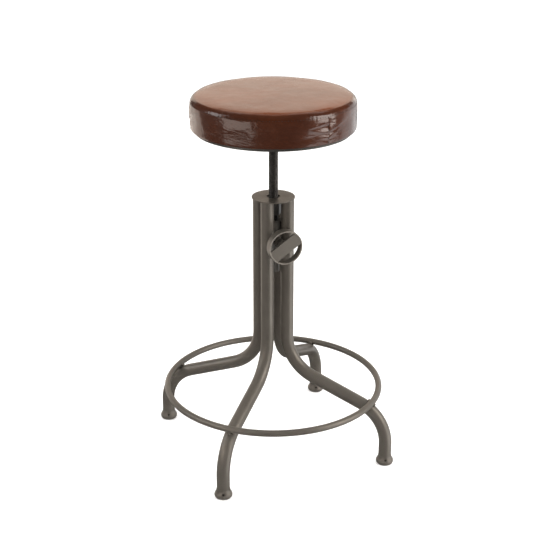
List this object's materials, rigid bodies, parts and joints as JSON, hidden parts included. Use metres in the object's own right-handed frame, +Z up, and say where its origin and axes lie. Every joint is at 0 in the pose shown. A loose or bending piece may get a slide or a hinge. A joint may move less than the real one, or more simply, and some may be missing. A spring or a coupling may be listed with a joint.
{
  "type": "bar stool",
  "caption": "Backless bar stool: a round leather drum seat on a threaded spindle in a column of bent tube legs, with a ring footrest and a hand wheel that locks the height.",
  "frame": {"origin": "on the floor under the spindle's axis, which is the middle of the footrest ring", "axes": "+Z up along the spindle; the hand wheel faces -Y; the legs stand on the diagonals between X and Y"},
  "size_m": [0.4885, 0.4886, 0.812],
  "materials": {
    "frame_paint": "satin gunmetal with a brown cast",
    "dark_steel": "dark, lightly oiled",
    "black_steel": "black oxide",
    "seat_metal": "dark satin",
    "glide_plastic": "black",
    "brass": "plain",
    "plywood": "raw",
    "leather": "glossy cognac, lightly creased",
    "foam": "upholstery foam",
    "staple_steel": "bright wire"
  },
  "bodies": {
    "base": {"leg_front_left": "frame_paint", "foot_front_left": "frame_paint", "leg_front_right": "frame_paint", "foot_front_right": "frame_paint", "leg_back_right": "frame_paint", "foot_back_right": "frame_paint", "leg_back_left": "frame_paint", "foot_back_left": "frame_paint", "foot_glides": "glide_plastic", "foot_screws": "dark_steel", "footrest_ring": "frame_paint", "footrest_welds": "frame_paint", "top_plate": "frame_paint", "spindle_nut_upper": "dark_steel", "spindle_nut_lower": "dark_steel", "guide_collar": "dark_steel", "guide_sleeve": "dark_steel", "lock_boss": "frame_paint"},
    "stop": {"stop_ring": "dark_steel"},
    "seat": {"spindle": "black_steel", "stop_bolt": "dark_steel", "seat_flange": "seat_metal", "seat_flange_screws": "dark_steel", "seat_pan": "seat_metal", "seat_board": "plywood", "cover_top": "leather", "cover_side_front": "leather", "cover_side_right": "leather", "cover_side_back": "leather", "seat_foam": "foam", "cover_staples": "staple_steel"},
    "pad": {"lock_pad": "brass"},
    "wheel": {"lock_screw": "dark_steel", "wheel_hub": "frame_paint", "wheel_rim": "frame_paint", "wheel_bar": "frame_paint"}
  },
  "joints": [
    {"name": "seat_lift", "type": "slide", "parent": "base", "child": "stop", "axis": [0, 0, 1], "range_m": [-0.12, 0.01]},
    {"name": "seat_turn", "type": "hinge", "parent": "stop", "child": "seat", "pos_m": [0, 0, 0.4674], "axis": [0, 0, 1], "range_deg": [-17280, 1440]},
    {"name": "lock_advance", "type": "slide", "parent": "base", "child": "pad", "axis": [0, 1, 0], "range_m": [-0.003, 0]},
    {"name": "lock_turn", "type": "hinge", "parent": "pad", "child": "wheel", "pos_m": [0, -0.0186, 0.49495], "axis": [0, 1, 0], "range_deg": [-720, 0]}
  ],
  "couplings": [
    {"joint": "seat_lift", "follows": "seat_turn", "m_per_rad": 0.00039789},
    {"joint": "lock_advance", "follows": "lock_turn", "m_per_rad": 0.00023873}
  ]
}
